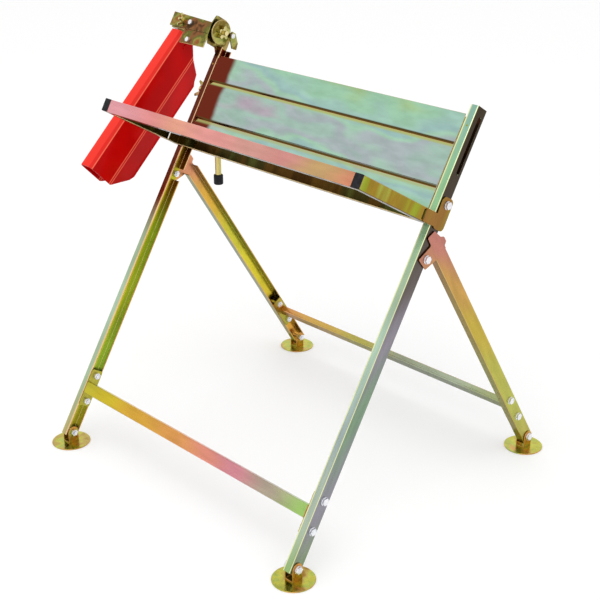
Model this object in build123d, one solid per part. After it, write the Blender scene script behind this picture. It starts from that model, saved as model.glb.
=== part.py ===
"""Folding sawhorse with swivelling chain-saw holder: every piece is written to parts/NODE.step.

X runs along the log, Y to the back and Z up, in millimetres. The right side is built and mirrored.
A member is (y, z, lean): a base point and the angle it leans back. On a member, n is the distance
to the front of its centre line and t the distance up it.
"""
import math
import os

from build123d import *

# Whole stand
WIDTH = 697.0             # over the webs of the two long legs
LONG_LEAN = 31.6          # long legs lean back by this angle
REAR_LEAN = 32.5          # rear legs lean forward by this angle
FOOT_PIVOT = 26.0         # foot pivots above the floor
LONG_LEG = 872.0          # foot pivot to the top of a long leg
LEG_TOE = 10.0            # leg below its foot pivot

# Folded channel that legs are made of
LEG_DEPTH = 30.0
LEG_FLANGE = 16.0
WALL = 1.6
BEND = 2.5

# Pivots on the long legs, as distance up the leg and to the front of its centre line
FOLD_T = 589.4
FOLD_N = -8.5
ARM_T = 691.2
ARM_N = -5.8
REAR_OFFSET = 34.0        # rear legs' centre line behind the fold pivot
PLATE_START = 22.0        # rear legs' flanges end below the fold pivot

# Clearances
RUN_FIT = 0.05            # radial, pin in a turning hole
SIDE_GAP = 0.3            # between pieces that move past each other
FOLD_GAP = 1.2            # long leg to rear leg, holds the pivot washer
ARM_GAP = 0.5             # long leg to arm side plate

# Fasteners
BOLT = 8.0
HEX = 13.0
HEX_HIGH = 5.3
NUT_HIGH = 6.5

# Feet
DISC = 80.0
DISC_THICK = 2.0
EAR = 2.0
EAR_ROUND = 12.0
FOOT_BASE = 2.5
FOOT_SIDE = 0.5           # leg to each ear

# Cross bars between the legs
FRONT_BAR_T = 100.0
FRONT_BAR_HIGH = 25.0
REAR_BAR_T = 103.0
REAR_BAR_HIGH = 22.0
BAR_DEEP = 13.0
TIE_LONG = 80.0           # end plates over the leg flanges
TIE_WIDE = LEG_DEPTH - 2  # rests on the flange tips
TIE_THICK = 2.0
TIE_BOLT = 28.5           # bolts up and down from the bar's middle

# Slot in the top of the long legs
SLOT_LOW = LONG_LEG - 125
SLOT_HIGH = LONG_LEG - 16
SLOT_WIDE = 9.0
SLOT_N = -2.4

# Arm frame, measured along the arms from the arm pivot and above it
ARM_DROOP = 1.3
ARM_REACH = 239.0
ARM_HIGH = 25.7
ARM_TOP = -18.9
ARM_FLANGE = 18.0
CROSS_DEEP = 17.0
ARM_NOTCH = 14.5          # web cut back where the arms meet the cross member
CROSS_GAP = 0.6           # cross member to the long legs' front faces
CAP_THICK = 2.5
CAP_PLUG = 12.0
SIDE_PLATE = 2.0

# Back panel
PANEL_LOW = 650.0
PANEL_HIGH = 853.0
PANEL_SHEET = 1.2
PANEL_EDGE = 3.5          # panel face to the flange tips
BEADS = ((700.4, 712.5, 720.6), (785.5, 795.4, 801.8))
BEAD_DEEP = 4.0

# Hanging rod behind the panel
ROD_X = -263.0
ROD_N = -3.5
ROD_T = 690.0
ROD = 13.0
ROD_LONG = 105.0
ROD_PIN = 5.0
TIP = 20.0
TIP_LONG = 21.0

# Saw holder on the left long leg
SLOT_BOLT_T = LONG_LEG - 94
LUG_T = LONG_LEG - 55
POST = 3.0
SWIVEL_N = 27.0
SWIVEL_T = LONG_LEG + 27
SWIVEL_BOLT = 10.0
FRICTION_DISC = 52.0
FRICTION_THICK = 2.5
DISC_STAND = 7.8          # friction disc clear of the post
STAR_THICK = 10.0
BEAM_N = 46.0             # front face of the beam
BEAM_SHEET = 3.0
BEAM_LOW = LONG_LEG + 15
BEAM_END = 132.0          # beam's free end beyond the post
HOLDER_SHEET = 2.0
JAW = 3.0
SMALL_BOLT = 6.0

# Chain guard
GUARD_GAP = 93.5          # long leg's web to the guard's near wall
GUARD_N = 46.4
GUARD_T = LONG_LEG - 7.1
GUARD_TILT = 14.5         # guard leans back more than the long legs
GUARD_WIDE = 38.6
GUARD_WALL = 69.0
GUARD_DEEP = 115.0
GUARD_MOUTH = 12.0        # over the lips
GUARD_LONG = 344.0
GUARD_SHEET = 1.5
GUARD_CHAMFER = 6.0
LIP = 6.0
RIVET_N = 18.0
RIVET_TS = (GUARD_T - 6, GUARD_T - 14)


def spot(member, n, t):
    """Y and Z of a point given on a member."""
    y, z, lean = member
    a = math.radians(lean)
    return (y - n * math.cos(a) + t * math.sin(a), z + n * math.sin(a) + t * math.cos(a))


HALF = WIDTH / 2
FRONT = (0.0, FOOT_PIVOT, LONG_LEAN)
FOLD_Y, FOLD_Z = spot(FRONT, FOLD_N, FOLD_T)
REAR_A = math.radians(REAR_LEAN)
REAR_PIVOT_T = (FOLD_Z - FOOT_PIVOT + REAR_OFFSET * math.sin(REAR_A)) / math.cos(REAR_A)
REAR_FOOT_Y = FOLD_Y + REAR_PIVOT_T * math.sin(REAR_A) + REAR_OFFSET * math.cos(REAR_A)
REAR = (REAR_FOOT_Y, FOOT_PIVOT, -REAR_LEAN)
ARM = (*spot(FRONT, ARM_N, ARM_T), LONG_LEAN - ARM_DROOP)
GUARD = (*spot(FRONT, GUARD_N, GUARD_T), LONG_LEAN + GUARD_TILT)

REAR_WEB = HALF + FOLD_GAP + WALL                   # outer face of a rear leg's web
ARM_WEB = HALF + ARM_GAP                            # outer face of an arm's web
LEG_FACE = LEG_DEPTH / 2                            # front face of a long leg
ARM_LOW = ARM_TOP - ARM_HIGH
DROOP = math.radians(ARM_DROOP)
CROSS_BACK = (LEG_FACE + CROSS_GAP - ARM_N - ARM_LOW * math.sin(DROOP)) / math.cos(DROOP)
PANEL_HALF = HALF - LEG_FLANGE - PANEL_EDGE
POST_IN = -HALF - SIDE_GAP
POST_OUT = POST_IN - POST
FLANGE_IN = POST_OUT - SIDE_GAP
FLANGE_OUT = FLANGE_IN - BEAM_SHEET
BEAM_BACK = BEAM_N - BEAM_SHEET
GUARD_X = -HALF - GUARD_GAP
STUD_X = GUARD_X - 2
ON_BASE = (Align.CENTER, Align.CENTER, Align.MIN)


def side_plane(member, x):
    """Plane square to X: its x is n to the front, its y is t up the member."""
    y, z, lean = member
    a = math.radians(lean)
    return Plane(origin=(x, y, z), x_dir=(0, -math.cos(a), math.sin(a)), z_dir=(-1, 0, 0))


def end_plane(member, x, t):
    """Plane square to a member: its x is X, its y is to the back of the member."""
    a = math.radians(member[2])
    return Plane(origin=(x, *spot(member, 0, t)), x_dir=(1, 0, 0), z_dir=(0, math.sin(a), math.cos(a)))


def face_plane(member, n):
    """Plane facing the front of a member: its x is X, its y is t."""
    a = math.radians(member[2])
    return Plane(origin=(0, *spot(member, n, 0)), x_dir=(1, 0, 0), z_dir=(0, -math.cos(a), math.sin(a)))


def plate(outline, member, x_low, x_high):
    """Sheet square to X, from a sketch in n and t."""
    return extrude(side_plane(member, x_high) * outline, amount=x_high - x_low, dir=(-1, 0, 0))


def sheet(outline, member, n_back, n_front):
    """Sheet facing the front, from a sketch in X and t."""
    return extrude(face_plane(member, n_back) * outline, amount=n_front - n_back)


def span(low_a, high_a, low_b, high_b):
    """Rectangle between two pairs of limits."""
    centre = Pos((low_a + high_a) / 2, (low_b + high_b) / 2)
    return centre * Rectangle(high_a - low_a, high_b - low_b)


def shape(points, round_by=0.0):
    """Polygon with its corners rounded."""
    outline = make_face(Polyline(*points, close=True))
    if round_by:
        outline = fillet(outline.vertices(), round_by)
    return outline


def pin(member, n, t, diameter, x_a, x_b):
    """Round bar along X."""
    low, high = min(x_a, x_b), max(x_a, x_b)
    return plate(Pos(n, t) * Circle(diameter / 2), member, low, high)


def hexagon(member, n, t, flats, x_a, x_b):
    """Hexagonal bar along X."""
    low, high = min(x_a, x_b), max(x_a, x_b)
    outline = RegularPolygon(flats / 2, 6, major_radius=False, rotation=30)
    return plate(Pos(n, t) * outline, member, low, high)


def stud(member, x, t, diameter, n_back, n_front):
    """Round bar square to a member's front face."""
    return sheet(Pos(x, t) * Circle(diameter / 2), member, n_back, n_front)


def head_on_front(member, x, t, flats, n_back, n_front):
    """Hexagonal bar square to a member's front face."""
    return sheet(Pos(x, t) * RegularPolygon(flats / 2, 6, major_radius=False), member, n_back, n_front)


def bolt(member, n, t, head_face, tip):
    """Hexagon bolt on the right side, its head outward of head_face."""
    head = hexagon(member, n, t, HEX, head_face, head_face + HEX_HIGH)
    flange = pin(member, n, t, HEX + 3, head_face, head_face + 1.2)
    return head + flange + pin(member, n, t, BOLT, tip, head_face)


def nut(member, n, t, face):
    """Nut on the right side, its outer face at face."""
    body = hexagon(member, n, t, HEX, face - NUT_HIGH, face)
    return body - pin(member, n, t, BOLT, face - NUT_HIGH - 1, face + 1)


def left_of(part):
    """The same piece on the left side."""
    return mirror(part, about=Plane.YZ)


def both(part):
    """The piece on the right and its mirror image, as separate solids."""
    return part + left_of(part)


def channel(depth, width, wall, bend, length):
    """Channel drawn up Z, its web's outer face on x = 0 and its flanges toward -x."""
    outer = span(-width, 0, -depth / 2, depth / 2)
    outer = fillet(outer.vertices().group_by(Axis.X)[-1], bend)
    inner = span(-2 * width, -wall, wall - depth / 2, depth / 2 - wall)
    inner = fillet(inner.vertices().group_by(Axis.X)[-1], bend - wall)
    return extrude(outer - inner, amount=length)


def cross_channel(member, n_low, n_high, t_low, t_high, half_length, web_side):
    """Channel along X; web_side is -1 for a web at the front and 0 for one at the back."""
    outer = span(n_low, n_high, t_low, t_high)
    outer = fillet(outer.vertices().group_by(Axis.X)[web_side], BEND)
    shift = WALL if web_side == 0 else -WALL
    inner = span(n_low, n_high, t_low + WALL, t_high - WALL)
    inner = fillet(inner.vertices().group_by(Axis.X)[web_side], BEND - WALL)
    return plate(outer - Pos(shift, 0) * inner, member, -half_length, half_length)


# Long legs: channels from the foot pivots to the top, slotted near the top.

def long_leg():
    leg = end_plane(FRONT, HALF, -LEG_TOE) * channel(LEG_DEPTH, LEG_FLANGE, WALL, BEND, LONG_LEG + LEG_TOE)
    slot = SlotOverall(SLOT_HIGH - SLOT_LOW, SLOT_WIDE, rotation=90)
    leg -= plate(Pos(SLOT_N, (SLOT_LOW + SLOT_HIGH) / 2) * slot, FRONT, HALF - 2 * WALL, HALF + 1)
    relief = span(-LEG_DEPTH, FOLD_N - 3, FOLD_T - HEX, FOLD_T + HEX)
    leg -= plate(relief, FRONT, HALF - LEG_FLANGE - 1, HALF - WALL)
    holes = ((0, 0), (FOLD_N, FOLD_T), (ARM_N, ARM_T))
    ties = ((0, FRONT_BAR_T - TIE_BOLT), (0, FRONT_BAR_T + TIE_BOLT))
    for n, t in holes + ties:
        leg -= pin(FRONT, n, t, BOLT, HALF - 2 * WALL, HALF + 1)
    return leg


# Rear legs: the same channel, with the web carried on above it as a pivot plate.

def pivot_plate():
    """Outline of the web above the flanges, from the fold pivot."""
    back, front = -REAR_OFFSET - LEG_FACE, LEG_FACE - REAR_OFFSET
    points = (
        (back, -PLATE_START), (back, -15), (back - 7, -11), (back - 7, 1), (back, 8),
        (back + 6.5, 30), (front - 3.6, 32), (front - 3, 12.4), (15, 15), (12, -15), (front, -PLATE_START),
    )
    outline = shape(points)
    corners = outline.vertices().filter_by(lambda v: v.Y > 1 - PLATE_START)
    return Pos(REAR_OFFSET, REAR_PIVOT_T) * fillet(corners, 3.0)


def rear_leg():
    tall = REAR_PIVOT_T - PLATE_START + LEG_TOE
    leg = end_plane(REAR, REAR_WEB, -LEG_TOE) * channel(LEG_DEPTH, LEG_FLANGE, WALL, BEND, tall)
    leg += plate(pivot_plate(), REAR, REAR_WEB - WALL, REAR_WEB)
    leg -= pin(REAR, REAR_OFFSET, REAR_PIVOT_T, BOLT + 2 * RUN_FIT, REAR_WEB - 2 * WALL, REAR_WEB + 1)
    for t in (0, REAR_BAR_T - TIE_BOLT, REAR_BAR_T + TIE_BOLT):
        leg -= pin(REAR, 0, t, BOLT, REAR_WEB - 2 * WALL, REAR_WEB + 1)
    return leg


# Cross bars: a channel between two end plates that close the legs' open sides.

def end_tie(member, web, bar_t):
    """Plate over the leg's flange tips, with holes for its two bolts."""
    tips = web - LEG_FLANGE
    outline = span(-TIE_WIDE / 2, TIE_WIDE / 2, bar_t - TIE_LONG / 2, bar_t + TIE_LONG / 2)
    tie = plate(fillet(outline.vertices(), 4.0), member, tips - TIE_THICK, tips)
    for t in (bar_t - TIE_BOLT, bar_t + TIE_BOLT):
        tie -= pin(member, 0, t, BOLT, tips - 2 * TIE_THICK, tips + 1)
    return tie


def tie_bolts(member, web, bar_t):
    tip = web - LEG_FLANGE - TIE_THICK - NUT_HIGH - 2
    ends = (bar_t - TIE_BOLT, bar_t + TIE_BOLT)
    return both(bolt(member, 0, ends[0], web, tip) + bolt(member, 0, ends[1], web, tip))


def tie_nuts(member, web, bar_t):
    face = web - LEG_FLANGE - TIE_THICK
    return both(nut(member, 0, bar_t - TIE_BOLT, face) + nut(member, 0, bar_t + TIE_BOLT, face))


def crossbar(member, web, bar_t, high, face):
    half_length = web - LEG_FLANGE - TIE_THICK
    return cross_channel(member, face - BAR_DEEP, face, bar_t - high / 2, bar_t + high / 2, half_length, -1)


# Feet: a round plate with a two-eared bracket that turns on the leg's foot bolt.

def foot_disc(member, web):
    centre = web - LEG_FLANGE / 2
    disc = Pos(centre, member[0], 0) * Cylinder(DISC / 2, DISC_THICK, align=ON_BASE)
    return fillet(disc.edges(), 0.6)


def foot_bracket(member, web):
    upright = (member[0], 0.0, 0.0)
    ear = span(-EAR_ROUND, EAR_ROUND, DISC_THICK, FOOT_PIVOT) + Pos(0, FOOT_PIVOT) * Circle(EAR_ROUND)
    outer = web + FOOT_SIDE
    inner = web - LEG_FLANGE - FOOT_SIDE
    base = span(-EAR_ROUND, EAR_ROUND, DISC_THICK, DISC_THICK + FOOT_BASE)
    bracket = plate(ear, upright, outer, outer + EAR) + plate(ear, upright, inner - EAR, inner)
    bracket += plate(base, upright, inner - EAR, outer + EAR)
    return bracket - pin(upright, 0, FOOT_PIVOT, BOLT + 2 * RUN_FIT, inner - 3 * EAR, outer + 3 * EAR)


def foot_bolts(member, web):
    inner = web - LEG_FLANGE - FOOT_SIDE - EAR - SIDE_GAP
    return both(bolt(member, 0, 0, web + FOOT_SIDE + EAR + SIDE_GAP, inner - NUT_HIGH - 2))


def foot_nuts(member, web):
    return both(nut(member, 0, 0, web - LEG_FLANGE - FOOT_SIDE - EAR - SIDE_GAP))


# Pivot bolts of the rear frame and of the arm frame, held by the long legs.

def pivot_bolts(n, t, outer):
    return both(bolt(FRONT, n, t, outer + SIDE_GAP, HALF - WALL - NUT_HIGH - 2))


def pivot_nuts(n, t):
    return both(nut(FRONT, n, t, HALF - WALL))


def stand_nuts():
    """The nuts of every bolt that the front half of the stand holds."""
    pivots = pivot_nuts(FOLD_N, FOLD_T) + pivot_nuts(ARM_N, ARM_T)
    return pivots + tie_nuts(FRONT, HALF, FRONT_BAR_T) + foot_nuts(FRONT, HALF)


def pivot_washers():
    ring = pin(FRONT, FOLD_N, FOLD_T, 2 * BOLT, HALF, HALF + FOLD_GAP - SIDE_GAP)
    return both(ring - pin(FRONT, FOLD_N, FOLD_T, BOLT, HALF - 1, HALF + FOLD_GAP))


# Back panel: a beaded sheet with its ends stepped behind the long legs' front flanges.

def panel_section():
    low_a, mid_a, high_a = BEADS[0]
    low_b, mid_b, high_b = BEADS[1]
    groove = LEG_FACE - BEAD_DEEP
    front = (
        (LEG_FACE, PANEL_LOW), (LEG_FACE, low_a), (groove, mid_a), (LEG_FACE, high_a),
        (LEG_FACE, low_b), (groove, mid_b), (LEG_FACE, high_b), (LEG_FACE, PANEL_HIGH),
    )
    back = tuple((n - PANEL_SHEET, t) for n, t in reversed(front))
    return shape(front + back)


def back_panel():
    tab_front = LEG_FACE - WALL
    tab_back = tab_front - PANEL_SHEET
    panel = plate(panel_section(), FRONT, -PANEL_HALF, PANEL_HALF)
    step = span(tab_back, LEG_FACE, PANEL_LOW + 5, PANEL_HIGH - 5)
    tab = span(tab_back, tab_front, PANEL_LOW + 5, PANEL_HIGH - 5)
    end = plate(step, FRONT, PANEL_HALF, PANEL_HALF + PANEL_SHEET)
    end += plate(tab, FRONT, PANEL_HALF, HALF - BEND - 2)
    panel += both(end)
    for t in (PANEL_LOW + 20, PANEL_HIGH - 20):
        for x in (HALF - LEG_FLANGE / 2, LEG_FLANGE / 2 - HALF):
            panel -= stud(FRONT, x, t, 4.0, 0, LEG_FACE + 1)
    return panel


def panel_rivets():
    tab_back = LEG_FACE - WALL - PANEL_SHEET
    rivets = Part()
    for t in (PANEL_LOW + 20, PANEL_HIGH - 20):
        rivets += stud(FRONT, HALF - LEG_FLANGE / 2, t, 4.0, tab_back, LEG_FACE)
        rivets += stud(FRONT, HALF - LEG_FLANGE / 2, t, 8.0, tab_back - 1.5, tab_back)
    return both(rivets)


def drill_flanges(leg):
    """Long leg with the panel rivets' holes in its front flange."""
    for t in (PANEL_LOW + 20, PANEL_HIGH - 20):
        leg -= stud(FRONT, HALF - LEG_FLANGE / 2, t, 4.0, 0, LEG_FACE + 1)
    return leg


# Hanging rod: a rubber-tipped rod that swings on a pin in a bracket behind the panel.

def rod_bracket():
    seat = LEG_FACE - PANEL_SHEET
    half = ROD / 2 + 0.5
    base = sheet(span(ROD_X - half - EAR, ROD_X + half + EAR, ROD_T - 30, ROD_T + 8), FRONT, seat - EAR, seat)
    ear = span(ROD_N, seat, ROD_T - 8, ROD_T + 8) + Pos(ROD_N, ROD_T) * Circle(8)
    base += plate(ear, FRONT, ROD_X + half, ROD_X + half + EAR)
    base += plate(ear, FRONT, ROD_X - half - EAR, ROD_X - half)
    return base - pin(FRONT, ROD_N, ROD_T, ROD_PIN, ROD_X - ROD, ROD_X + ROD)


def rod_pin():
    reach = ROD / 2 + 0.5 + EAR
    shank = pin(FRONT, ROD_N, ROD_T, ROD_PIN, ROD_X - reach - 1.5, ROD_X + reach)
    return shank + pin(FRONT, ROD_N, ROD_T, ROD_PIN + 4, ROD_X + reach, ROD_X + reach + 2)


def hanging_rod():
    y, z = spot(FRONT, ROD_N, ROD_T)
    rod = Pos(ROD_X, y, z + 8 - ROD_LONG) * Cylinder(ROD / 2, ROD_LONG, align=ON_BASE)
    rod = fillet(rod.edges().group_by(Axis.Z)[-1], 2.0)
    return rod - pin((y, z, 0.0), 0, 0, ROD_PIN + 2 * RUN_FIT, ROD_X - ROD, ROD_X + ROD)


def rod_tip():
    y, z = spot(FRONT, ROD_N, ROD_T)
    low = z + 8 - ROD_LONG - 6
    tip = Pos(ROD_X, y, low) * Cylinder(TIP / 2, TIP_LONG, align=ON_BASE)
    tip = fillet(tip.edges(), 2.0)
    bore = Pos(ROD_X, y, low + 6) * Cylinder(ROD / 2, TIP_LONG, align=ON_BASE)
    return tip - bore


# Arm frame: two channel arms, a front bar, a cross member and side plates on the arm pivots.

def arm():
    start = CROSS_BACK + CROSS_DEEP
    length = ARM_REACH - CAP_THICK - start
    member = (ARM[0], ARM[1], ARM[2] - 90)
    middle = (ARM_TOP + ARM_LOW) / 2
    profile = Pos(0, middle) * channel(ARM_HIGH, ARM_FLANGE, WALL, BEND, length)
    notch = span(start - 1, start + ARM_NOTCH, ARM_LOW + 3.5, ARM_TOP - 3.5)
    body = end_plane(member, ARM_WEB, start) * profile
    return body - plate(notch, ARM, ARM_WEB - 2 * WALL, ARM_WEB + 1)


def arm_cap():
    middle = (ARM_TOP + ARM_LOW) / 2
    front = ARM_REACH - CAP_THICK
    face = span(ARM_WEB - ARM_FLANGE, ARM_WEB, ARM_LOW, ARM_TOP)
    cap = sheet(fillet(face.vertices(), 2.0), ARM, front, ARM_REACH)
    inner = ARM_HIGH / 2 - WALL
    plug = span(ARM_WEB - ARM_FLANGE + 0.5, ARM_WEB - WALL, middle - inner, middle + inner)
    plug = fillet(plug.vertices(), 1.2)
    return cap + sheet(plug, ARM, front - CAP_PLUG, front)


def front_bar():
    half_length = ARM_WEB - ARM_FLANGE
    return cross_channel(ARM, ARM_REACH - ARM_FLANGE, ARM_REACH, ARM_LOW, ARM_TOP, half_length, -1)


def cross_member():
    return cross_channel(ARM, CROSS_BACK, CROSS_BACK + CROSS_DEEP, ARM_LOW, ARM_TOP, ARM_WEB, 0)


def arm_side_plate():
    ear = fillet(span(-15, 17, -47, 13).vertices(), 9.0)
    tab = span(10, CROSS_BACK + CROSS_DEEP + 10, ARM_LOW + 1, ARM_TOP - 1)
    both_shapes = ear + tab
    side = plate(both_shapes, ARM, ARM_WEB, ARM_WEB + SIDE_PLATE)
    return side - pin(ARM, 0, 0, BOLT + 2 * RUN_FIT, ARM_WEB - 1, ARM_WEB + 2 * SIDE_PLATE)


# Holder post: a plate outside the left long leg, clamped through its slot and topped by a head.

def holder_post():
    n = SLOT_N
    points = (
        (n - 11, SLOT_BOLT_T - 30), (n + 11, SLOT_BOLT_T - 30), (n + 11, SWIVEL_T - 45),
        (SWIVEL_N - 9, SWIVEL_T - 33), (SWIVEL_N + 15, SWIVEL_T - 33), (SWIVEL_N + 23, SWIVEL_T - 20),
        (SWIVEL_N + 25, SWIVEL_T + 6), (SWIVEL_N + 19, SWIVEL_T + 29), (SWIVEL_N - 11, SWIVEL_T + 29),
        (n - 11, SWIVEL_T + 6),
    )
    post = plate(shape(points, 4.0), FRONT, POST_OUT, POST_IN)
    lug = fillet(span(n - 4, n + 4, LUG_T - 5, LUG_T + 5).vertices(), 2.0)
    post += plate(lug, FRONT, POST_IN, POST_IN + SIDE_GAP + WALL)
    post -= pin(FRONT, n, SLOT_BOLT_T, BOLT, POST_OUT - 1, POST_IN + 1)
    return post - pin(FRONT, SWIVEL_N, SWIVEL_T, SWIVEL_BOLT + 2 * RUN_FIT, POST_OUT - 1, POST_IN + 1)


def slot_bolt():
    inside = WALL - HALF + SIDE_GAP
    shank = pin(FRONT, SLOT_N, SLOT_BOLT_T, BOLT, POST_OUT - 16, inside)
    return shank + fillet(pin(FRONT, SLOT_N, SLOT_BOLT_T, 2 * BOLT, inside, inside + 4).edges(), 1.5)


def wing_nut(plane, bore, tall, reach):
    """Nut with two wings, standing on a plane."""
    hub = extrude(Circle(bore / 2 + 4), amount=tall * 0.45)
    points = (
        (bore / 2, 1), (bore / 2 + 4, 1), (reach * 0.83, tall * 0.55), (reach, tall * 0.95),
        (reach * 0.78, tall), (bore / 2 + 4, tall * 0.7), (bore / 2, tall * 0.4),
    )
    wing = extrude(Plane.XZ * shape(points), amount=1.5, both=True)
    body = hub + wing + mirror(wing, about=Plane.YZ)
    return plane * (body - extrude(Circle(bore / 2 + RUN_FIT), amount=tall))


def slot_wing_nut():
    a = math.radians(LONG_LEAN)
    origin = (POST_OUT - SIDE_GAP, *spot(FRONT, SLOT_N, SLOT_BOLT_T))
    plane = Plane(origin=origin, x_dir=(0, math.sin(a), math.cos(a)), z_dir=(-1, 0, 0))
    return wing_nut(plane, BOLT, 26.0, 18.0)


def friction_disc():
    face = POST_IN + DISC_STAND
    disc = pin(FRONT, SWIVEL_N, SWIVEL_T, FRICTION_DISC, face, face + FRICTION_THICK)
    hub = pin(FRONT, SWIVEL_N, SWIVEL_T, 22.0, POST_IN, face)
    bore = pin(FRONT, SWIVEL_N, SWIVEL_T, SWIVEL_BOLT + 2 * RUN_FIT, POST_IN - 1, face + 5)
    pin_hole = pin(FRONT, SWIVEL_N - 21, SWIVEL_T + 3, 6.0, face - 1, face + 5)
    return disc + hub - bore - pin_hole


def disc_pin():
    """Rivet that holds the stop plate on the friction disc."""
    face = POST_IN + DISC_STAND
    end = face + FRICTION_THICK + 12.5
    n, t = SWIVEL_N - 21, SWIVEL_T + 3
    return pin(FRONT, n, t, 6.0, face, end) + pin(FRONT, n, t, 10.0, end, end + 3)


def stop_plate():
    face = POST_IN + DISC_STAND + FRICTION_THICK
    n, t = SWIVEL_N - 21, SWIVEL_T + 3
    points = (
        (n + 6, t + 8), (n - 6, t + 8), (n - 22, t - 8), (n - 25, t - 22), (n - 12, t - 24), (n + 2, t - 8),
    )
    tab = plate(shape(points, 2.5), FRONT, face + 10, face + 12.5)
    sleeve = pin(FRONT, n, t, 10.0, face, face + 10)
    return tab + sleeve - pin(FRONT, n, t, 6.0, face - 1, face + 14)


def star_nut():
    face = POST_IN + DISC_STAND + FRICTION_THICK + SIDE_GAP
    star = Circle(9)
    for turn in range(5):
        star += Rot(0, 0, 72 * turn) * Pos(10.5, 0) * Circle(3.8)
    body = plate(Pos(SWIVEL_N, SWIVEL_T) * star, FRONT, face, face + STAR_THICK)
    return body - pin(FRONT, SWIVEL_N, SWIVEL_T, SWIVEL_BOLT + 2 * RUN_FIT, face - 1, face + STAR_THICK + 1)


# Swivelling head: beam with its bolt, saw bracket, jaw and the clip that carries the guard.

def swivel_bolt():
    tip = POST_IN + DISC_STAND + FRICTION_THICK + STAR_THICK + 7
    shank = pin(FRONT, SWIVEL_N, SWIVEL_T, SWIVEL_BOLT, FLANGE_OUT, tip)
    return shank + hexagon(FRONT, SWIVEL_N, SWIVEL_T, 17.0, FLANGE_OUT - 6.4, FLANGE_OUT)


def swivel_beam():
    end = POST_OUT - BEAM_END
    points = ((end, BEAM_LOW), (FLANGE_IN, BEAM_LOW), (FLANGE_IN, SWIVEL_T + 12), (end, SWIVEL_T + 19))
    beam = sheet(shape(points), FRONT, BEAM_BACK, BEAM_N)
    ear = span(SWIVEL_N - 15, BEAM_N, BEAM_LOW - 5, SWIVEL_T + 12)
    beam += plate(fillet(ear.vertices().group_by(Axis.X)[0], 8.0), FRONT, FLANGE_OUT, FLANGE_IN)
    beam -= pin(FRONT, SWIVEL_N, SWIVEL_T, SWIVEL_BOLT, FLANGE_OUT - 1, FLANGE_IN + 1)
    for x in (STUD_X, GUARD_X + 22):
        beam -= stud(FRONT, x, SWIVEL_T + 2, SMALL_BOLT, BEAM_BACK - 1, BEAM_N + 1)
    return beam


def saw_bracket():
    outline = span(GUARD_X + 5.5, FLANGE_OUT - 2, BEAM_LOW - 32, SWIVEL_T + 9)
    bracket = sheet(outline, FRONT, BEAM_BACK - HOLDER_SHEET, BEAM_BACK)
    for x, t in ((GUARD_X + 22, SWIVEL_T + 2), (GUARD_X + 30, BEAM_LOW - 23)):
        bracket -= stud(FRONT, x, t, SMALL_BOLT, BEAM_BACK - HOLDER_SHEET - 1, BEAM_BACK + 1)
    return bracket


def jaw_bolt_place():
    """X, t and the front and back of what the jaw's bolt holds."""
    return GUARD_X + 30, BEAM_LOW - 23, BEAM_BACK, BEAM_BACK - HOLDER_SHEET - JAW


def bar_jaw():
    x, t, front, back = jaw_bolt_place()
    jaw = sheet(span(x - 10, x + 36, t - 8, t + 17), FRONT, back, back + JAW)
    return jaw - stud(FRONT, x, t, SMALL_BOLT, back - 1, front)


def holder_bolts():
    """Bolt of the jaw and bolt that joins the bracket to the beam."""
    x, t, front, back = jaw_bolt_place()
    jaw_bolt = stud(FRONT, x, t, SMALL_BOLT, back - 7, front)
    jaw_bolt += head_on_front(FRONT, x, t, 10.0, front, front + 4)
    x, t = GUARD_X + 22, SWIVEL_T + 2
    beam_bolt = stud(FRONT, x, t, SMALL_BOLT, BEAM_BACK - HOLDER_SHEET - 7, BEAM_N)
    return jaw_bolt + beam_bolt + head_on_front(FRONT, x, t, 10.0, BEAM_N, BEAM_N + 4)


def holder_nuts():
    x, t, _, back = jaw_bolt_place()
    nuts = head_on_front(FRONT, x, t, 10.0, back - 5, back)
    nuts -= stud(FRONT, x, t, SMALL_BOLT, back - 6, back + 1)
    x, t, back = GUARD_X + 22, SWIVEL_T + 2, BEAM_BACK - HOLDER_SHEET
    nut_two = head_on_front(FRONT, x, t, 10.0, back - 5, back)
    return nuts + (nut_two - stud(FRONT, x, t, SMALL_BOLT, back - 6, back + 1))


def beam_stud():
    x, t = STUD_X, SWIVEL_T + 2
    back = BEAM_BACK - HOLDER_SHEET
    return stud(FRONT, x, t, SMALL_BOLT, back, BEAM_N + 15) + stud(FRONT, x, t, 13.0, back - 3.5, back)


def beam_wing_nut():
    a = math.radians(LONG_LEAN)
    origin = (STUD_X, *spot(FRONT, BEAM_N + SIDE_GAP, SWIVEL_T + 2))
    plane = Plane(origin=origin, x_dir=(0, math.sin(a), math.cos(a)), z_dir=(0, -math.cos(a), math.sin(a)))
    return wing_nut(plane, SMALL_BOLT, 13.0, 14.0)


def clip_cheeks():
    """X of the outer faces of the clip's two cheeks, inside the guard's walls."""
    return GUARD_X - GUARD_SHEET, GUARD_X - GUARD_WIDE + GUARD_SHEET


def guard_clip():
    near, far = clip_cheeks()
    deck = BEAM_LOW - 3
    clip = sheet(span(far, near + 6, deck, SWIVEL_T + 7), FRONT, BEAM_BACK - HOLDER_SHEET, BEAM_BACK)
    clip += sheet(span(far, near, deck, deck + HOLDER_SHEET), FRONT, RIVET_N - 12, BEAM_BACK)
    cheek = span(RIVET_N - 12, RIVET_N + 7, deck - 40, deck)
    clip += plate(cheek, FRONT, near - HOLDER_SHEET, near)
    clip += plate(cheek, FRONT, far, far + HOLDER_SHEET)
    clip -= stud(FRONT, STUD_X, SWIVEL_T + 2, SMALL_BOLT, BEAM_BACK - 2 * HOLDER_SHEET, BEAM_BACK + 1)
    for t in RIVET_TS:
        clip -= pin(FRONT, RIVET_N, t, 4.0, far - 1, near + 1)
    return clip


# Chain guard: a folded sheath, closed at the front, tapering at the back to a slot between two lips.

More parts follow.
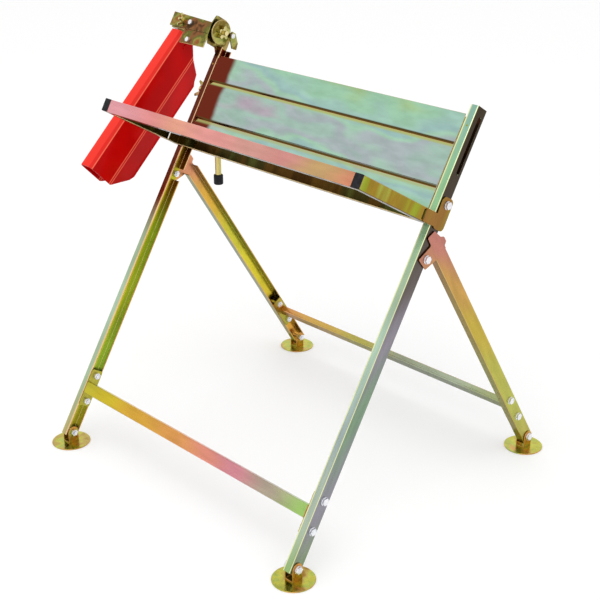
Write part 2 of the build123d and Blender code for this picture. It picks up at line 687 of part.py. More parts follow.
def guard_outline(inset, mouth):
    """Outline across the sheath: local x is X from the near wall, y is to the back."""
    middle = -GUARD_WIDE / 2
    wall = GUARD_WIDE / 2 - inset
    lip = GUARD_MOUTH / 2 - inset
    outline = shape((
        (middle + wall, inset), (middle + wall, GUARD_WALL), (middle + lip, GUARD_DEEP),
        (middle + lip, mouth), (middle - lip, mouth),
        (middle - lip, GUARD_DEEP), (middle - wall, GUARD_WALL), (middle - wall, inset),
    ))
    corners = outline.vertices().filter_by(lambda v: v.Y < 2 * GUARD_SHEET)
    return chamfer(corners, GUARD_CHAMFER - 0.586 * inset)


def chain_guard():
    section = guard_outline(0, GUARD_DEEP + LIP) - guard_outline(GUARD_SHEET, GUARD_DEEP + 2 * LIP)
    sheath = extrude(end_plane(GUARD, GUARD_X, -GUARD_LONG - 20) * section, amount=GUARD_LONG + 60)
    back = -GUARD_DEEP - LIP
    points = (
        (1, 17), (-45, 13), (-GUARD_WALL, -10), (8 - GUARD_DEEP, -24), (-GUARD_DEEP, -38), (back, -47),
        (back, 52 - GUARD_LONG), (-GUARD_DEEP, 40 - GUARD_LONG), (-GUARD_WALL, -GUARD_LONG), (1, -GUARD_LONG),
    )
    guard = sheath & plate(shape(points), GUARD, GUARD_X - GUARD_WIDE - 1, GUARD_X + 1)
    for t in RIVET_TS:
        guard -= pin(FRONT, RIVET_N, t, 4.0, GUARD_X - GUARD_WIDE - 1, GUARD_X + 1)
    return guard


def guard_rivets():
    rivets = Part()
    near, far = clip_cheeks()
    for t in RIVET_TS:
        rivets += pin(FRONT, RIVET_N, t, 4.0, near - HOLDER_SHEET, GUARD_X)
        rivets += pin(FRONT, RIVET_N, t, 7.0, GUARD_X, GUARD_X + 1.5)
        rivets += pin(FRONT, RIVET_N, t, 7.0, near - HOLDER_SHEET - 1, near - HOLDER_SHEET)
        rivets += pin(FRONT, RIVET_N, t, 4.0, GUARD_X - GUARD_WIDE, far + HOLDER_SHEET)
        rivets += pin(FRONT, RIVET_N, t, 7.0, GUARD_X - GUARD_WIDE - 1.5, GUARD_X - GUARD_WIDE)
        rivets += pin(FRONT, RIVET_N, t, 7.0, far + HOLDER_SHEET, far + HOLDER_SHEET + 1)
    return rivets


def build():
    """Every node in the stand's own coordinates, before it is centred."""
    leg = drill_flanges(long_leg())
    tie = end_tie(FRONT, HALF, FRONT_BAR_T)
    rear = rear_leg()
    rear_tie = end_tie(REAR, REAR_WEB, REAR_BAR_T)
    side = arm_side_plate()
    nodes = {
        "long_leg_right": leg,
        "long_leg_left": left_of(leg),
        "front_crossbar": crossbar(FRONT, HALF, FRONT_BAR_T, FRONT_BAR_HIGH, LEG_FACE),
        "front_tie_right": tie,
        "front_tie_left": left_of(tie),
        "front_tie_bolts": tie_bolts(FRONT, HALF, FRONT_BAR_T),
        "back_panel": back_panel(),
        "panel_rivets": panel_rivets(),
        "fold_bolts": pivot_bolts(FOLD_N, FOLD_T, REAR_WEB),
        "fold_washers": pivot_washers(),
        "arm_bolts": pivot_bolts(ARM_N, ARM_T, ARM_WEB + SIDE_PLATE),
        "stand_nuts": stand_nuts(),
        "front_foot_bolts": foot_bolts(FRONT, HALF),
        "rod_bracket": rod_bracket(),
        "rod_pin": rod_pin(),
        "hanging_rod": hanging_rod(),
        "rod_tip": rod_tip(),
        "rear_leg_right": rear,
        "rear_leg_left": left_of(rear),
        "rear_crossbar": crossbar(REAR, REAR_WEB, REAR_BAR_T, REAR_BAR_HIGH, 4.0),
        "rear_tie_right": rear_tie,
        "rear_tie_left": left_of(rear_tie),
        "rear_tie_bolts": tie_bolts(REAR, REAR_WEB, REAR_BAR_T),
        "rear_foot_bolts": foot_bolts(REAR, REAR_WEB),
        "rear_nuts": tie_nuts(REAR, REAR_WEB, REAR_BAR_T) + foot_nuts(REAR, REAR_WEB),
        "arm_right": arm(),
        "arm_left": left_of(arm()),
        "front_bar": front_bar(),
        "cross_member": cross_member(),
        "arm_side_plate_right": side,
        "arm_side_plate_left": left_of(side),
        "arm_cap_right": arm_cap(),
        "arm_cap_left": left_of(arm_cap()),
        "holder_post": holder_post(),
        "slot_bolt": slot_bolt(),
        "slot_wing_nut": slot_wing_nut(),
        "friction_disc": friction_disc(),
        "disc_pin": disc_pin(),
        "stop_plate": stop_plate(),
        "star_nut": star_nut(),
        "swivel_bolt": swivel_bolt(),
        "swivel_beam": swivel_beam(),
        "saw_bracket": saw_bracket(),
        "bar_jaw": bar_jaw(),
        "holder_bolts": holder_bolts(),
        "holder_nuts": holder_nuts(),
        "beam_stud": beam_stud(),
        "beam_wing_nut": beam_wing_nut(),
        "guard_clip": guard_clip(),
        "chain_guard": chain_guard(),
        "guard_rivets": guard_rivets(),
    }
    for end, member, web in (("front", FRONT, HALF), ("rear", REAR, REAR_WEB)):
        disc = foot_disc(member, web)
        bracket = foot_bracket(member, web)
        nodes["foot_disc_" + end + "_right"] = disc
        nodes["foot_disc_" + end + "_left"] = left_of(disc)
        nodes["foot_bracket_" + end + "_right"] = bracket
        nodes["foot_bracket_" + end + "_left"] = left_of(bracket)
    return nodes


# Write every node with the middle of the whole stand's footprint on the origin.
nodes = build()
boxes = [part.bounding_box() for part in nodes.values()]
centre_x = (min(b.min.X for b in boxes) + max(b.max.X for b in boxes)) / 2
centre_y = (min(b.min.Y for b in boxes) + max(b.max.Y for b in boxes)) / 2
floor_z = min(b.min.Z for b in boxes)
os.makedirs("parts", exist_ok=True)
for name, part in nodes.items():
    export_step(Pos(-centre_x, -centre_y, -floor_z) * part, "parts/" + name + ".step")
print("moved by", -centre_x, -centre_y, -floor_z)
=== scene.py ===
import math

import bmesh
import bpy
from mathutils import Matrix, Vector


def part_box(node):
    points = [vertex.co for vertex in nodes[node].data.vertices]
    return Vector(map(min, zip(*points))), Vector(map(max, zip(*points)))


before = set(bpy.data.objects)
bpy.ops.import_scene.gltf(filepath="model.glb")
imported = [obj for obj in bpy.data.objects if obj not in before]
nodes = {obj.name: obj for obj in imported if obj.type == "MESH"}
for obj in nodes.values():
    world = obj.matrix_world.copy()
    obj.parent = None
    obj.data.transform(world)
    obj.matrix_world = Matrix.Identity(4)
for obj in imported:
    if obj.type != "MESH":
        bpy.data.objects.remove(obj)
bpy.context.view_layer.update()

# ---- Long legs -------------------------------------------------------------------------------
# Two channels folded from steel sheet, bolted to the rear legs and feet, zinc plated and yellow
# passivated. The film is thin enough to shimmer from mint to violet. A warm painted highlight lies in
# the bends and along the edges, and the sides carry some painted reflection and shade.
LEG_LEAN = math.radians(31.6)
LEG_SPAN = (0.02, 0.76)
RIM = (0.00275, 0.00155)
INSIDE_FADE = (0.008, 0.0)
CREAM = (0.80, 0.82, 0.46)
PEACH = (0.90, 0.58, 0.32)
LEG_SHADOW = (0.035, 0.012, 0.006)


def add(tree, kind, **values):
    """A shader node with its properties set."""
    node = tree.nodes.new(kind)
    for key, value in values.items():
        setattr(node, key, value)
    return node


def value_of(tree, operation, first, second=0.0, third=None):
    """A math node; numbers and sockets are both taken."""
    node = add(tree, "ShaderNodeMath", operation=operation)
    for socket, given in zip(node.inputs, (first, second, third)):
        if given is None:
            continue
        if isinstance(given, (int, float)):
            socket.default_value = given
        else:
            tree.links.new(given, socket)
    return node.outputs[0]


def along_direction(tree, vector, direction):
    """How far a vector reaches in one direction."""
    node = add(tree, "ShaderNodeVectorMath", operation="DOT_PRODUCT")
    node.inputs[1].default_value = direction
    tree.links.new(vector, node.inputs[0])
    return node.outputs["Value"]


def split_up(tree, vector):
    """A vector's X, Y and Z sockets."""
    node = add(tree, "ShaderNodeSeparateXYZ")
    tree.links.new(vector, node.inputs["Vector"])
    return node.outputs


def blend_colours(tree, factor, first, second):
    """A colour mix; colours and sockets are both taken."""
    node = add(tree, "ShaderNodeMix", data_type="RGBA")
    for socket, given in ((node.inputs[0], factor), (node.inputs[6], first), (node.inputs[7], second)):
        if isinstance(given, (int, float)):
            socket.default_value = given
        elif isinstance(given, tuple):
            socket.default_value = (*given, 1.0)
        else:
            tree.links.new(given, socket)
    return node.outputs[2]


def colour_ramp(tree, factor, colours, low=0.0, high=1.0):
    """Colours spread evenly over a factor from low to high."""
    ramp = add(tree, "ShaderNodeValToRGB")
    ramp.color_ramp.interpolation = "EASE"
    steps = ramp.color_ramp.elements
    for index, colour in enumerate(colours):
        at = low + (high - low) * index / (len(colours) - 1)
        step = steps[index] if index < 2 else steps.new(at)
        step.position = at
        step.color = (*colour, 1.0)
    tree.links.new(factor, ramp.inputs["Fac"])
    return ramp.outputs["Color"]


def cloud(tree, vector, size, detail=2.0):
    """Soft noise over a surface."""
    noise = add(tree, "ShaderNodeTexNoise", noise_dimensions="3D")
    noise.inputs["Scale"].default_value = size
    noise.inputs["Detail"].default_value = detail
    noise.inputs["Roughness"].default_value = 0.5
    tree.links.new(vector, noise.inputs["Vector"])
    return noise.outputs["Fac"]


def film_clouds(tree, vector, colours, size, detail):
    """Colours in soft clouds over a surface."""
    return colour_ramp(tree, cloud(tree, vector, size, detail), colours, 0.30, 0.70)


def between(tree, value, low, high, first=0.0, last=1.0):
    """Smooth step from first to last as a value goes from low to high."""
    step = add(tree, "ShaderNodeMapRange", interpolation_type="SMOOTHSTEP")
    step.inputs["From Min"].default_value = low
    step.inputs["From Max"].default_value = high
    step.inputs["To Min"].default_value = first
    step.inputs["To Max"].default_value = last
    tree.links.new(value, step.inputs["Value"])
    return step.outputs["Result"]


def new_finish(name):
    """A new material with its node tree, its shader and the piece's own coordinates."""
    material = bpy.data.materials.new(name)
    material.use_nodes = True
    tree = material.node_tree
    return material, tree, tree.nodes["Principled BSDF"], add(tree, "ShaderNodeTexCoord").outputs


def add_relief(tree, shader, height, strength, depth):
    """Fine relief from a noise."""
    bump = add(tree, "ShaderNodeBump")
    bump.inputs["Strength"].default_value = strength
    bump.inputs["Distance"].default_value = depth
    tree.links.new(height, bump.inputs["Height"])
    tree.links.new(bump.outputs["Normal"], shader.inputs["Normal"])


def passivated(name, faces, sides, bends, lean=0.0, along="Z", ends=None, size=11.0, rough=0.24,
               waver=0.5, under=0.22, stretch=5.0, rim=None):
    """Yellow-passivated zinc. The film's colours lie on faces, on X-facing sides and in bends.

    They follow the piece from end to end where ends are given, and lie in clouds where not. The
    clouds are drawn out along the piece and lean with it. The sides' colours are in part painted
    reflection and shade, and the bends' colour is a painted highlight, which a rim also takes.
    Undersides are darkened by painted shade.
    """
    material, tree, shader, place = new_finish(name)
    turn = add(tree, "ShaderNodeMapping", vector_type="TEXTURE")
    turn.inputs["Rotation"].default_value = (-lean, 0.0, 0.0)
    turn.inputs["Scale"].default_value = (stretch, 1.0, 1.0) if along == "X" else (1.0, 1.0, stretch)
    tree.links.new(place["Object"], turn.inputs["Vector"])
    streak = turn.outputs["Vector"]
    where = split_up(tree, place["Object"])
    facing = split_up(tree, place["Normal"])

    band = cloud(tree, streak, size, 3.0)
    if ends:
        travel = add(tree, "ShaderNodeMapRange", clamp=True)
        travel.inputs["From Min"].default_value, travel.inputs["From Max"].default_value = ends
        tree.links.new(where[along], travel.inputs["Value"])
        band = value_of(tree, "SUBTRACT", band, 0.5)
        band = value_of(tree, "MULTIPLY_ADD", band, waver, travel.outputs["Result"])
    else:
        band = between(tree, band, 0.28, 0.72)

    sideways = value_of(tree, "ABSOLUTE", facing["X"])
    on_side = between(tree, sideways, 0.55, 0.85)
    from_middle = value_of(tree, "ABSOLUTE", value_of(tree, "SUBTRACT", sideways, 0.62))
    in_bend = between(tree, from_middle, 0.30, 0.12)
    # The X-facing sides take colours of their own, in part painted reflection and shade.
    colour = blend_colours(tree, on_side, colour_ramp(tree, band, faces), colour_ramp(tree, band, sides))
    # Painted highlight: the bends, and the rim along an open side, take the warm bend colour.
    colour = blend_colours(tree, in_bend, colour, bends)
    if rim:
        colour = blend_colours(tree, between(tree, where["X"], *rim), colour, bends)

    fine = between(tree, cloud(tree, streak, 75.0, 4.0), 0.25, 0.75, 0.90, 1.08)
    # Painted shade: faces turned down are darkened, by the factor under.
    shade = between(tree, facing["Z"], -0.75, -0.25, under, 1.0)
    tone = add(tree, "ShaderNodeVectorMath", operation="SCALE")
    tree.links.new(colour, tone.inputs[0])
    tree.links.new(value_of(tree, "MULTIPLY", fine, shade), tone.inputs["Scale"])
    tree.links.new(tone.outputs["Vector"], shader.inputs["Base Color"])
    mottle = cloud(tree, place["Object"], 60.0, 4.0)
    tree.links.new(between(tree, mottle, 0.3, 0.7, rough - 0.05, rough + 0.07), shader.inputs["Roughness"])
    shader.inputs["Metallic"].default_value = 1.0
    add_relief(tree, shader, cloud(tree, streak, 240.0), 0.05, 0.0005)
    return material


def edge_highlight(name, colour):
    """Painted highlight for the rounded edges of plated sheet."""
    material, tree, shader, place = new_finish(name)
    darker = tuple(0.72 * part for part in colour)
    tint = film_clouds(tree, place["Object"], (colour, darker, colour), 45.0, 2.0)
    tree.links.new(tint, shader.inputs["Base Color"])
    shader.inputs["Metallic"].default_value = 0.7
    shader.inputs["Roughness"].default_value = 0.35
    return material


def dress(names, material, edge=None, round_by=0.0007):
    """Gives CAD pieces their finish, and takes the sharpness off their edges."""
    for name in names:
        piece = nodes[name]
        piece.data.materials.clear()
        piece.data.materials.append(material)
        weld = piece.modifiers.new("weld", "WELD")
        weld.merge_threshold = 0.00002
        soft = piece.modifiers.new("edge", "BEVEL")
        soft.width = round_by
        soft.segments = 2
        soft.limit_method = "ANGLE"
        soft.angle_limit = math.radians(35)
        soft.use_clamp_overlap = True
        # The bevel faces take the edge material: a painted highlight along the rounded edges.
        if edge:
            piece.data.materials.append(edge)
            soft.material = 1
        even = piece.modifiers.new("even", "WEIGHTED_NORMAL")
        even.keep_sharp = False
        piece.data.polygons.foreach_set("use_smooth", [True] * len(piece.data.polygons))


def paint_over(material, shading):
    """Changes a film's colour where shading says."""
    tree = material.node_tree
    base = tree.nodes["Principled BSDF"].inputs["Base Color"]
    place = add(tree, "ShaderNodeTexCoord").outputs
    tree.links.new(shading(tree, place, base.links[0].from_socket), base)


def dark_inside(tree, place, colour):
    """Shadow on the forward-facing inner side of the channel, behind its centre line."""
    forward = Vector((0.0, -math.cos(LEG_LEAN), math.sin(LEG_LEAN)))
    centre_line = forward.dot(sum(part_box("front_foot_bolts"), Vector()) / 2)
    depth = value_of(tree, "SUBTRACT", along_direction(tree, place["Object"], forward), centre_line)
    facing = along_direction(tree, place["Normal"], forward)
    inside = value_of(tree, "MULTIPLY", between(tree, depth, *INSIDE_FADE), between(tree, facing, 0.6, 0.9))
    return blend_colours(tree, inside, colour, LEG_SHADOW)


def rim_at(open_side, inwards):
    """Where the painted highlight along a channel's open side starts and ends, from the X of that side."""
    return tuple(open_side + inwards * reach for reach in RIM)


# Painted reflection: the right leg's X-facing sides run to near black towards the top.
leg_right_film = passivated(
    "leg_film_mint",
    ((0.30, 0.46, 0.16), (0.42, 0.50, 0.40), (0.36, 0.44, 0.42), (0.46, 0.62, 0.48), (0.38, 0.50, 0.34),
     (0.31, 0.56, 0.30), (0.28, 0.48, 0.38)),
    ((0.22, 0.30, 0.16), (0.27, 0.26, 0.30), (0.20, 0.30, 0.20), (0.26, 0.24, 0.28), (0.12, 0.10, 0.09),
     (0.06, 0.045, 0.03), (0.05, 0.035, 0.02)),
    CREAM, LEG_LEAN, ends=LEG_SPAN, waver=0.35, rim=rim_at(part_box("long_leg_right")[0].x, 1),
)
paint_over(leg_right_film, dark_inside)
leg_left_film = passivated(
    "leg_film_olive",
    ((0.50, 0.42, 0.16), (0.40, 0.52, 0.34), (0.42, 0.56, 0.40), (0.38, 0.50, 0.32), (0.20, 0.06, 0.02),
     (0.13, 0.025, 0.012), (0.12, 0.025, 0.012)),
    ((0.54, 0.54, 0.06), (0.54, 0.66, 0.07), (0.64, 0.62, 0.04), (0.52, 0.56, 0.03), (0.50, 0.46, 0.03),
     (0.16, 0.03, 0.006), (0.14, 0.02, 0.006)),
    PEACH, LEG_LEAN, ends=LEG_SPAN, waver=0.25, rim=rim_at(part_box("long_leg_left")[1].x, -1),
)
bright_edge = edge_highlight("edge_straw", (0.86, 0.74, 0.42))
dress(["long_leg_right"], leg_right_film, bright_edge)
dress(["long_leg_left"], leg_left_film, bright_edge)

# ---- Front cross bar and its end plates --------------------------------------------------------
# A folded channel welded between two plates; the plates close the legs' open sides and are bolted
# through them. The same plating, warmer on the bar.
BAR_SPAN = (-0.29, 0.38)
front_cross_film = passivated(
    "front_cross_film",
    ((0.50, 0.46, 0.04), (0.60, 0.47, 0.03), (0.67, 0.38, 0.05), (0.71, 0.33, 0.09), (0.74, 0.28, 0.20),
     (0.66, 0.26, 0.30), (0.44, 0.37, 0.28), (0.34, 0.54, 0.15)),
    ((0.45, 0.40, 0.05), (0.60, 0.30, 0.08)),
    (0.85, 0.52, 0.30), LEG_LEAN, along="X", ends=BAR_SPAN, waver=0.3,
)
orange_edge = edge_highlight("edge_orange", (0.72, 0.30, 0.10))
dress(["front_crossbar"], front_cross_film, orange_edge)
plate_film = passivated(
    "plate_film",
    ((0.40, 0.38, 0.04), (0.30, 0.34, 0.05), (0.50, 0.24, 0.05)),
    ((0.30, 0.28, 0.03), (0.44, 0.40, 0.06), (0.48, 0.22, 0.05)),
    (0.60, 0.34, 0.10), LEG_LEAN,
)
dress(["front_tie_left", "front_tie_right"], plate_film, orange_edge)

# ---- Back panel ----------------------------------------------------------------------------------
# A thin sheet with two pressed beads, its ends stepped behind the leg flanges and riveted. Its
# film is the smoothest of all, so it mirrors what stands in front of it.
DARK_END = (-0.215, -0.232)
DARK_END_RAGGED = 0.012
DARK_END_BROWN = (0.15, 0.02, 0.008)
BEAD_SHADOW = (0.10, 0.06, 0.012)
BEAD_LIGHT = (0.44, 0.48, 0.16)


def panel_shading(tree, place, colour):
    """A ragged dark left end, painted shadow on the slopes under the beads and painted light on those
    above.
    """
    across = split_up(tree, place["Object"])["X"]
    ragged = value_of(tree, "MULTIPLY_ADD", cloud(tree, place["Object"], 30.0), DARK_END_RAGGED, across)
    colour = blend_colours(tree, between(tree, ragged, *DARK_END), colour, DARK_END_BROWN)
    up_the_sheet = (0.0, math.sin(LEG_LEAN), math.cos(LEG_LEAN))
    slope = along_direction(tree, place["Normal"], up_the_sheet)
    colour = blend_colours(tree, between(tree, slope, -0.15, -0.40), colour, BEAD_SHADOW)
    return blend_colours(tree, between(tree, slope, 0.15, 0.40), colour, BEAD_LIGHT)


panel_film = passivated(
    "panel_film",
    ((0.38, 0.52, 0.20), (0.34, 0.58, 0.40), (0.36, 0.57, 0.48), (0.33, 0.51, 0.48), (0.37, 0.59, 0.44),
     (0.40, 0.46, 0.47), (0.36, 0.52, 0.44), (0.46, 0.37, 0.44)),
    ((0.40, 0.40, 0.12), (0.30, 0.40, 0.14)),
    (0.60, 0.55, 0.24), LEG_LEAN, along="X", stretch=3.0, size=7.0, rough=0.11,
)
paint_over(panel_film, panel_shading)
dress(["back_panel"], panel_film, orange_edge, 0.0003)
dress(["panel_rivets"], plate_film)

# ---- Bolts, nuts and washers -----------------------------------------------------------------------
# Standard steel bolts, nuts, washers and pins, cold formed and plated in bright white zinc.
# Their corners are chamfered and catch the light.
SMALL_ROUND = 0.0008


def white_zinc(name):
    """Bright zinc, clouded a little blue and violet."""
    material, tree, shader, place = new_finish(name)
    zinc = ((0.62, 0.64, 0.70), (0.86, 0.87, 0.90), (0.74, 0.70, 0.78))
    tree.links.new(film_clouds(tree, place["Object"], zinc, 120.0, 3.0), shader.inputs["Base Color"])
    shader.inputs["Metallic"].default_value = 0.9
    shader.inputs["Roughness"].default_value = 0.24
    return material


fasteners = [
    "front_tie_bolts", "stand_nuts", "fold_bolts", "fold_washers", "arm_bolts",
    "front_foot_bolts", "rod_pin", "rear_tie_bolts", "rear_foot_bolts", "rear_nuts", "slot_bolt",
    "disc_pin", "holder_bolts", "holder_nuts",
]
dress(fasteners, white_zinc("white_zinc"), round_by=SMALL_ROUND)

# ---- Hanging rod and rubber caps -------------------------------------------------------------------
# A plated steel rod that swings on a pin in a folded bracket behind the panel, with a moulded rubber
# tip pushed on. The caps on the arms' ends are the same rubber.
rod_film = passivated(
    "rod_film",
    ((0.55, 0.48, 0.16), (0.64, 0.46, 0.18), (0.60, 0.52, 0.22)),
    ((0.55, 0.48, 0.16), (0.64, 0.40, 0.14)),
    (0.60, 0.50, 0.20), size=30.0,
)
gold_edge = edge_highlight("edge_gold", (0.84, 0.62, 0.28))
dress(["rod_bracket", "hanging_rod"], rod_film, gold_edge)


def moulded_rubber(name):
    """Matt black rubber with a fine grain."""
    material, tree, shader, place = new_finish(name)
    blacks = ((0.006, 0.006, 0.008), (0.018, 0.018, 0.022))
    tree.links.new(film_clouds(tree, place["Object"], blacks, 180.0, 4.0), shader.inputs["Base Color"])
    shader.inputs["Roughness"].default_value = 0.6
    shader.inputs["Specular IOR Level"].default_value = 0.18
    add_relief(tree, shader, cloud(tree, place["Object"], 900.0), 0.25, 0.0003)
    return material


dress(["rod_tip", "arm_cap_left", "arm_cap_right"], moulded_rubber("black_rubber"), round_by=SMALL_ROUND)

# ---- Rear frame --------------------------------------------------------------------------------------
# Two more channel legs, their webs carried on above the flanges as pivot plates, joined by a lighter
# cross bar. The film runs from rose and orange to olive.
REAR_SPAN = (0.02, 0.53)
rear_right_film = passivated(
    "rear_film_right",
    ((0.50, 0.40, 0.06), (0.45, 0.44, 0.08), (0.50, 0.36, 0.06), (0.50, 0.22, 0.10)),
    ((0.46, 0.40, 0.08), (0.44, 0.45, 0.08), (0.46, 0.44, 0.07), (0.52, 0.39, 0.05), (0.54, 0.31, 0.08),
     (0.49, 0.19, 0.15)),
    (0.72, 0.50, 0.20), -LEG_LEAN, ends=REAR_SPAN,
)
rear_left_film = passivated(
    "rear_film_left",
    ((0.50, 0.42, 0.06), (0.46, 0.50, 0.30), (0.40, 0.50, 0.34), (0.44, 0.46, 0.26)),
    ((0.76, 0.38, 0.06), (0.74, 0.50, 0.04), (0.68, 0.58, 0.04), (0.60, 0.56, 0.05), (0.72, 0.42, 0.06),
     (0.62, 0.26, 0.14)),
    (0.72, 0.46, 0.16), -LEG_LEAN, ends=REAR_SPAN, rim=rim_at(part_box("rear_leg_left")[1].x, -1),
)
dress(["rear_leg_right"], rear_right_film, gold_edge)
dress(["rear_leg_left"], rear_left_film, gold_edge)
rear_cross_film = passivated(
    "rear_cross_film",
    ((0.70, 0.32, 0.12), (0.62, 0.40, 0.10), (0.50, 0.46, 0.11), (0.34, 0.38, 0.26), (0.42, 0.48, 0.34),
     (0.38, 0.42, 0.20)),
    ((0.45, 0.40, 0.05), (0.60, 0.30, 0.08)),
    (0.80, 0.60, 0.30), -LEG_LEAN, along="X", ends=BAR_SPAN, waver=0.3,
)
dress(["rear_crossbar"], rear_cross_film, orange_edge)
dress(["rear_tie_left", "rear_tie_right"], plate_film, orange_edge)

# ---- Arm frame -----------------------------------------------------------------------------------------
# Two short channel arms on side plates, bolted to the legs so that they fold, with a pink-sheened bar
# across their ends and a channel across their roots. The left arm and that channel are in painted shade.
arm_film = passivated(
    "arm_film",
    ((0.24, 0.16, 0.02), (0.36, 0.42, 0.05), (0.30, 0.33, 0.02), (0.27, 0.17, 0.01)),
    ((0.38, 0.47, 0.06), (0.30, 0.33, 0.02), (0.32, 0.20, 0.02), (0.38, 0.45, 0.07)),
    (0.62, 0.26, 0.06), LEG_LEAN, size=14.0, under=0.12,
)
dress(["arm_right"], arm_film, orange_edge)
# Painted shade: a near-black film for the left arm and the root channel, which lie in the bar's shadow.
arm_root_painted_shade = passivated(
    "arm_root_painted_shade",
    ((0.05, 0.022, 0.004), (0.10, 0.05, 0.008), (0.05, 0.04, 0.008), (0.09, 0.10, 0.02)),
    ((0.06, 0.04, 0.006), (0.10, 0.09, 0.012), (0.04, 0.02, 0.003)),
    (0.30, 0.20, 0.04), LEG_LEAN, size=14.0, under=0.5,
)
dress(["arm_left", "cross_member"], arm_root_painted_shade, gold_edge)
side_plate_film = passivated(
    "side_plate_film",
    ((0.30, 0.28, 0.03), (0.30, 0.14, 0.03)),
    ((0.28, 0.25, 0.02), (0.30, 0.14, 0.03), (0.40, 0.34, 0.05)),
    (0.60, 0.30, 0.08), LEG_LEAN, size=16.0,
)
dress(["arm_side_plate_left", "arm_side_plate_right"], side_plate_film, orange_edge)
front_bar_film = passivated(
    "front_bar_film",
    ((0.76, 0.34, 0.37), (0.74, 0.28, 0.27), (0.81, 0.37, 0.26), (0.78, 0.33, 0.30), (0.66, 0.33, 0.28),
     (0.64, 0.28, 0.25), (0.56, 0.36, 0.16), (0.70, 0.25, 0.16)),
    ((0.60, 0.30, 0.20), (0.40, 0.44, 0.10)),
    (0.88, 0.62, 0.50), LEG_LEAN, along="X", ends=BAR_SPAN, under=0.10,
)
dress(["front_bar"], front_bar_film, orange_edge)

# ---- Feet ------------------------------------------------------------------------------------------------
# Stamped round steel discs, each with a folded two-eared bracket riveted on, plated like the legs.
# Each foot turns on the bolt through the end of its leg.
foot_film = passivated(
    "foot_film",
    ((0.34, 0.18, 0.03), (0.52, 0.40, 0.10), (0.56, 0.54, 0.08), (0.44, 0.50, 0.10), (0.66, 0.40, 0.12)),
    ((0.46, 0.40, 0.06), (0.60, 0.26, 0.05), (0.38, 0.40, 0.06)),
    (0.70, 0.38, 0.12), size=24.0, stretch=1.0,
)
for end in ("front", "rear"):
    for side in ("left", "right"):
        dress([f"foot_disc_{end}_{side}", f"foot_bracket_{end}_{side}"], foot_film, orange_edge)

# ---- Saw holder ----------------------------------------------------------------------------------------
# A post clamped in the left leg's slot carries a swivelling head of folded steel brackets, held by a
# star nut, a friction disc and wing nuts. The brackets are darker than the legs, the knobs brighter.
holder_film = passivated(
    "holder_film",
    ((0.06, 0.03, 0.01), (0.26, 0.11, 0.04), (0.14, 0.14, 0.03), (0.30, 0.28, 0.06), (0.30, 0.10, 0.03)),
    ((0.30, 0.32, 0.08), (0.44, 0.42, 0.12), (0.20, 0.14, 0.03), (0.40, 0.30, 0.10)),
    (0.66, 0.50, 0.20), LEG_LEAN, size=30.0, stretch=1.0,
)
brackets = [
    "holder_post", "friction_disc", "stop_plate", "swivel_beam", "saw_bracket", "bar_jaw", "guard_clip",
]
dress(brackets, holder_film, gold_edge)
knob_film = passivated(
    "knob_film",
    ((0.42, 0.40, 0.12), (0.74, 0.62, 0.30), (0.36, 0.30, 0.06)),
    ((0.46, 0.44, 0.14), (0.78, 0.66, 0.34)),
    CREAM, size=60.0, rough=0.18,
)
knobs = ["slot_wing_nut", "star_nut", "beam_wing_nut", "beam_stud", "swivel_bolt"]
dress(knobs, knob_film, round_by=SMALL_ROUND)

# ---- Chain guard -----------------------------------------------------------------------------------------
# A sheath folded from steel sheet, closed at the front and riveted to its clip through the cheeks. It
# is powder coated in glossy red with a fine orange peel, with painted light on the faces turned up and
# bright painted highlight lines along the bends.
GUARD_LEAN = math.radians(46.1)
# Painted highlights: bright lines at these depths along the guard's bends.
BEND_HIGHLIGHT_LINES = (0.0062, 0.0640, 0.0690)
BEND_LINE_FADE = (0.0016, 0.0005)
RED = (0.60, 0.0, 0.0)
LIT_RED = (0.84, 0.035, 0.022)
BEND_HIGHLIGHT_RED = (0.92, 0.15, 0.09)


def powder_coat(name, colour, lit, bend):
    """Glossy powder coat; painted light on faces turned up, painted highlights along the guard's bends."""
    material, tree, shader, place = new_finish(name)
    deep = tuple(0.78 * part for part in colour)
    tint = film_clouds(tree, place["Object"], (colour, deep, colour), 7.0, 2.0)
    upwards = split_up(tree, place["Normal"])["Z"]
    tint = blend_colours(tree, between(tree, upwards, 0.25, 0.66), tint, lit)
    backwards = Vector((0.0, math.cos(GUARD_LEAN), -math.sin(GUARD_LEAN)))
    front_face = min(backwards.dot(corner.co) for corner in nodes["chain_guard"].data.vertices)
    depth = along_direction(tree, place["Object"], backwards)
    for line in BEND_HIGHLIGHT_LINES:
        off = value_of(tree, "ABSOLUTE", value_of(tree, "SUBTRACT", depth, front_face + line))
        tint = blend_colours(tree, between(tree, off, *BEND_LINE_FADE), tint, bend)
    tree.links.new(tint, shader.inputs["Base Color"])
    shader.inputs["Roughness"].default_value = 0.30
    shader.inputs["Specular IOR Level"].default_value = 0.05
    shader.inputs["Coat Weight"].default_value = 0.05
    shader.inputs["Coat Roughness"].default_value = 0.10
    add_relief(tree, shader, cloud(tree, place["Object"], 420.0, 1.0), 0.08, 0.0004)
    return material


guard_red = powder_coat("guard_red", RED, LIT_RED, BEND_HIGHLIGHT_RED)
for name in ("chain_guard", "guard_rivets"):
    nodes[name].data.materials.clear()
    nodes[name].data.materials.append(guard_red)

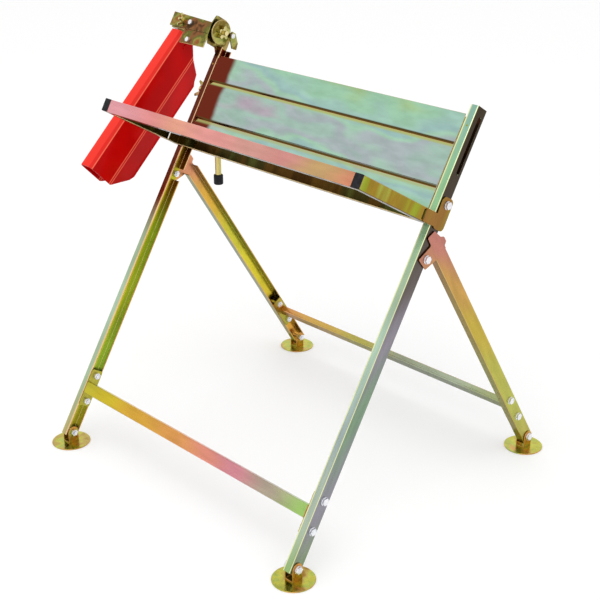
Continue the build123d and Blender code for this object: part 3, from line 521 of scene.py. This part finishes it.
# ---- Floor, light and camera ---------------------------------------------------------------------------
# A pale matt floor under an even white sky, with one large soft lamp above the front. The camera
# stands off the front right corner and looks down at the stand.
FLOOR_HALF = 30.0
FLOOR_GREY = (0.97, 0.97, 0.97, 1.0)
SKY_WHITE = (1.0, 1.0, 1.0, 1.0)
LAMP_PLACE = Vector((0.9, -2.0, 3.9))
LAMP_TARGET = Vector((0.0, 0.0, 0.4))
LAMP_SIZE = 3.0
LAMP_POWER = 34.0
CAMERA_PLACE = (1.68685, -1.5865, 1.3195)
CAMERA_TILT = math.radians(66.554)
CAMERA_TURN = math.radians(45.68)
CAMERA_LENS = 73.83

mesh = bpy.data.meshes.new("floor")
shape = bmesh.new()
bmesh.ops.create_grid(shape, x_segments=1, y_segments=1, size=FLOOR_HALF)
shape.to_mesh(mesh)
shape.free()
floor = bpy.data.objects.new("floor", mesh)
bpy.context.scene.collection.objects.link(floor)
paint = bpy.data.materials.new("floor_paint")
paint.use_nodes = True
paint.node_tree.nodes["Principled BSDF"].inputs["Base Color"].default_value = FLOOR_GREY
paint.node_tree.nodes["Principled BSDF"].inputs["Roughness"].default_value = 0.9
mesh.materials.append(paint)

world = bpy.data.worlds.new("studio")
bpy.context.scene.world = world
world.use_nodes = True
world.node_tree.nodes["Background"].inputs["Color"].default_value = SKY_WHITE
world.node_tree.nodes["Background"].inputs["Strength"].default_value = 1.0

light = bpy.data.lights.new("key_light", "AREA")
light.shape = "SQUARE"
light.size = LAMP_SIZE
light.energy = LAMP_POWER
lamp = bpy.data.objects.new("key_light", light)
lamp.location = LAMP_PLACE
lamp.rotation_euler = (LAMP_TARGET - LAMP_PLACE).to_track_quat("-Z", "Y").to_euler()
bpy.context.scene.collection.objects.link(lamp)

lens = bpy.data.cameras.new("camera")
lens.sensor_width = 36.0
lens.lens = CAMERA_LENS
lens.clip_end = 60.0
camera = bpy.data.objects.new("camera", lens)
camera.location = CAMERA_PLACE
camera.rotation_euler = (CAMERA_TILT, 0.0, CAMERA_TURN)
bpy.context.scene.collection.objects.link(camera)
bpy.context.scene.camera = camera
bpy.context.scene.view_settings.view_transform = "Standard"
